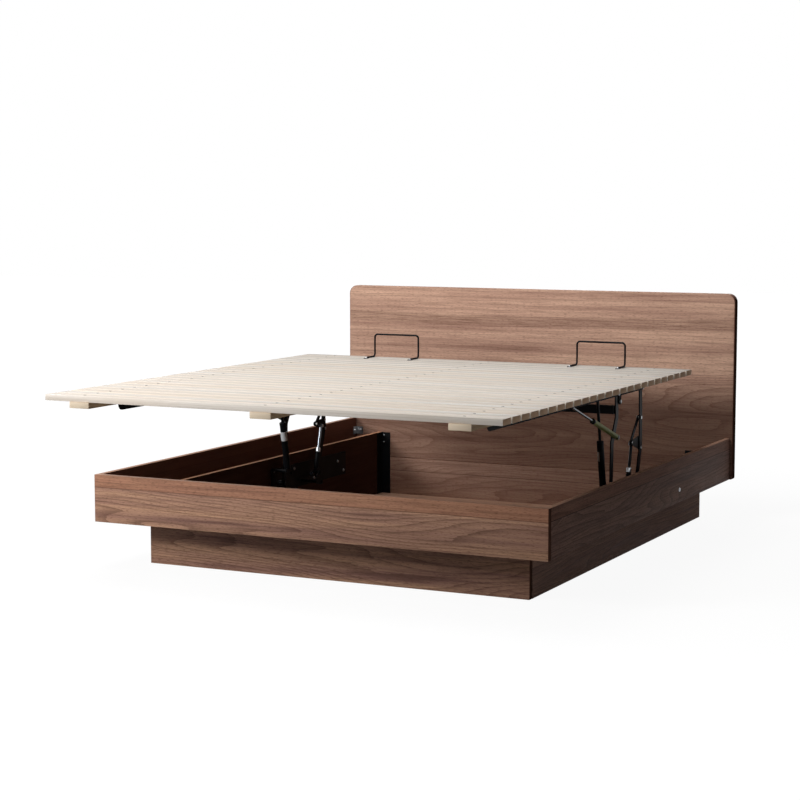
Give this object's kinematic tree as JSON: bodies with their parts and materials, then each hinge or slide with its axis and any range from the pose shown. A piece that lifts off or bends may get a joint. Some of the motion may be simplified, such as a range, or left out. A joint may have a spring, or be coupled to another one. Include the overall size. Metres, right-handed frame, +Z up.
{
  "type": "lift-up platform bed",
  "caption": "Low platform bed with a recessed plinth and plain headboard; a slatted deck on a parallel-arm lift rises level over a storage box.",
  "frame": {"origin": "on the floor at the middle of the plinth's footprint, under the centre floor bearer", "axes": "+Z up, +Y towards the headboard, +X to the right when looking from the foot towards the headboard"},
  "size_m": [1.886, 2.5121, 0.991],
  "materials": {
    "walnut_veneer": "satin walnut-coloured veneer with the grain along each board",
    "dark_board": "matt dark board",
    "pale_wood": "plain sawn pale softwood",
    "black_steel": "semi-gloss black powder coat",
    "zinc": "zinc-plated steel",
    "chrome": "polished chrome",
    "olive_paint": "gloss olive-green paint"
  },
  "bodies": {
    "frame": {"headboard": "walnut_veneer", "foot_rail": "walnut_veneer", "side_rail_left": "walnut_veneer", "side_rail_right": "walnut_veneer", "box_front": "walnut_veneer", "box_side_left": "walnut_veneer", "box_side_right": "walnut_veneer", "box_rear": "walnut_veneer", "storage_floor_left": "walnut_veneer", "storage_floor_right": "walnut_veneer", "floor_bearer_centre": "pale_wood", "floor_bearers_side": "pale_wood", "soffit_left": "dark_board", "soffit_right": "dark_board", "soffit_foot": "dark_board", "rail_brackets": "zinc", "rail_bracket_bolts": "zinc", "box_corner_angles": "black_steel", "rail_bolt_caps": "zinc", "base_plate_left": "black_steel", "base_plate_right": "black_steel", "base_plate_bolts": "zinc", "base_pivot_pins": "zinc", "strut_cheeks": "black_steel", "strut_cheek_bolts": "black_steel"},
    "front_arms": {"front_arm_left": "black_steel", "front_arm_right": "black_steel", "cross_beam": "black_steel", "spring_studs": "zinc"},
    "rear_arms": {"rear_arm_left": "black_steel", "rear_arm_right": "black_steel", "rear_arm_plates": "black_steel", "rear_arm_links": "black_steel", "rear_arm_pins": "zinc"},
    "lift_spring_cylinders": {"lift_spring_cylinder_left": "olive_paint", "lift_spring_cylinder_right": "olive_paint"},
    "lift_spring_rods": {"lift_spring_rod_left": "chrome", "lift_spring_rod_right": "chrome", "lift_spring_bolts": "zinc"},
    "front_strut_cylinders": {"front_strut_cylinder_left": "black_steel", "front_strut_cylinder_right": "black_steel", "front_strut_bands": "zinc"},
    "front_strut_rods": {"front_strut_rod_left": "black_steel", "front_strut_rod_right": "black_steel", "front_strut_bolts": "zinc"},
    "rear_stay_guides": {"rear_stay_guide_left": "black_steel", "rear_stay_guide_right": "black_steel"},
    "rear_stay_rods": {"rear_stay_rod_left": "chrome", "rear_stay_rod_right": "chrome", "rear_stay_bolts": "zinc"},
    "platform": {"slats": "pale_wood", "slat_screws": "zinc", "batten_left": "pale_wood", "batten_centre": "pale_wood", "batten_right": "pale_wood", "upper_rail_left": "black_steel", "upper_rail_right": "black_steel", "upper_pivot_bolts": "zinc", "retainers": "black_steel", "retainer_screws": "zinc"}
  },
  "joints": [
    {"name": "lift", "type": "hinge", "parent": "frame", "child": "front_arms", "pos_m": [0, -0.024, 0.187], "axis": [1, 0, 0], "range_deg": [-71.01, 0]},
    {"name": "platform_level", "type": "hinge", "parent": "front_arms", "child": "platform", "pos_m": [0, 0.033, 0.637], "axis": [1, 0, 0], "range_deg": [0, 71.01]},
    {"name": "rear_arm_swing", "type": "hinge", "parent": "frame", "child": "rear_arms", "pos_m": [0, 0.263, 0.187], "axis": [1, 0, 0], "range_deg": [-71.01, 0]},
    {"name": "lift_spring_tilt", "type": "hinge", "parent": "front_arms", "child": "lift_spring_cylinders", "pos_m": [0, -0.006, 0.465], "axis": [1, 0, 0], "range_deg": [0, 86.89]},
    {"name": "lift_spring_stroke", "type": "slide", "parent": "lift_spring_cylinders", "child": "lift_spring_rods", "axis": [0, -0.9474, 0.3202], "range_m": [-0.1641, 0]},
    {"name": "front_strut_tilt", "type": "hinge", "parent": "frame", "child": "front_strut_cylinders", "pos_m": [0, -0.039, 0.236], "axis": [1, 0, 0], "range_deg": [-94.16, 0]},
    {"name": "front_strut_stroke", "type": "slide", "parent": "front_strut_cylinders", "child": "front_strut_rods", "axis": [0, -0.1956, 0.9807], "range_m": [-0.0934, 0]},
    {"name": "rear_stay_tilt", "type": "hinge", "parent": "frame", "child": "rear_stay_guides", "pos_m": [0, 0.218, 0.205], "axis": [1, 0, 0], "range_deg": [-65.08, 0]},
    {"name": "rear_stay_stroke", "type": "slide", "parent": "rear_stay_guides", "child": "rear_stay_rods", "axis": [0, 0.2516, 0.9678], "range_m": [0, 0.051]}
  ],
  "couplings": [
    {"joint": "platform_level", "follows": "lift", "ratio": -1},
    {"joint": "rear_arm_swing", "follows": "lift", "ratio": 1},
    {"joint": "lift_spring_tilt", "follows": "lift", "ratio": -1.2235},
    {"joint": "lift_spring_stroke", "follows": "lift", "m_per_rad": 0.13232},
    {"joint": "front_strut_tilt", "follows": "lift", "ratio": 1.3259},
    {"joint": "front_strut_stroke", "follows": "lift", "m_per_rad": 0.075311},
    {"joint": "rear_stay_tilt", "follows": "lift", "ratio": 0.91631},
    {"joint": "rear_stay_stroke", "follows": "lift", "m_per_rad": -0.041119}
  ]
}
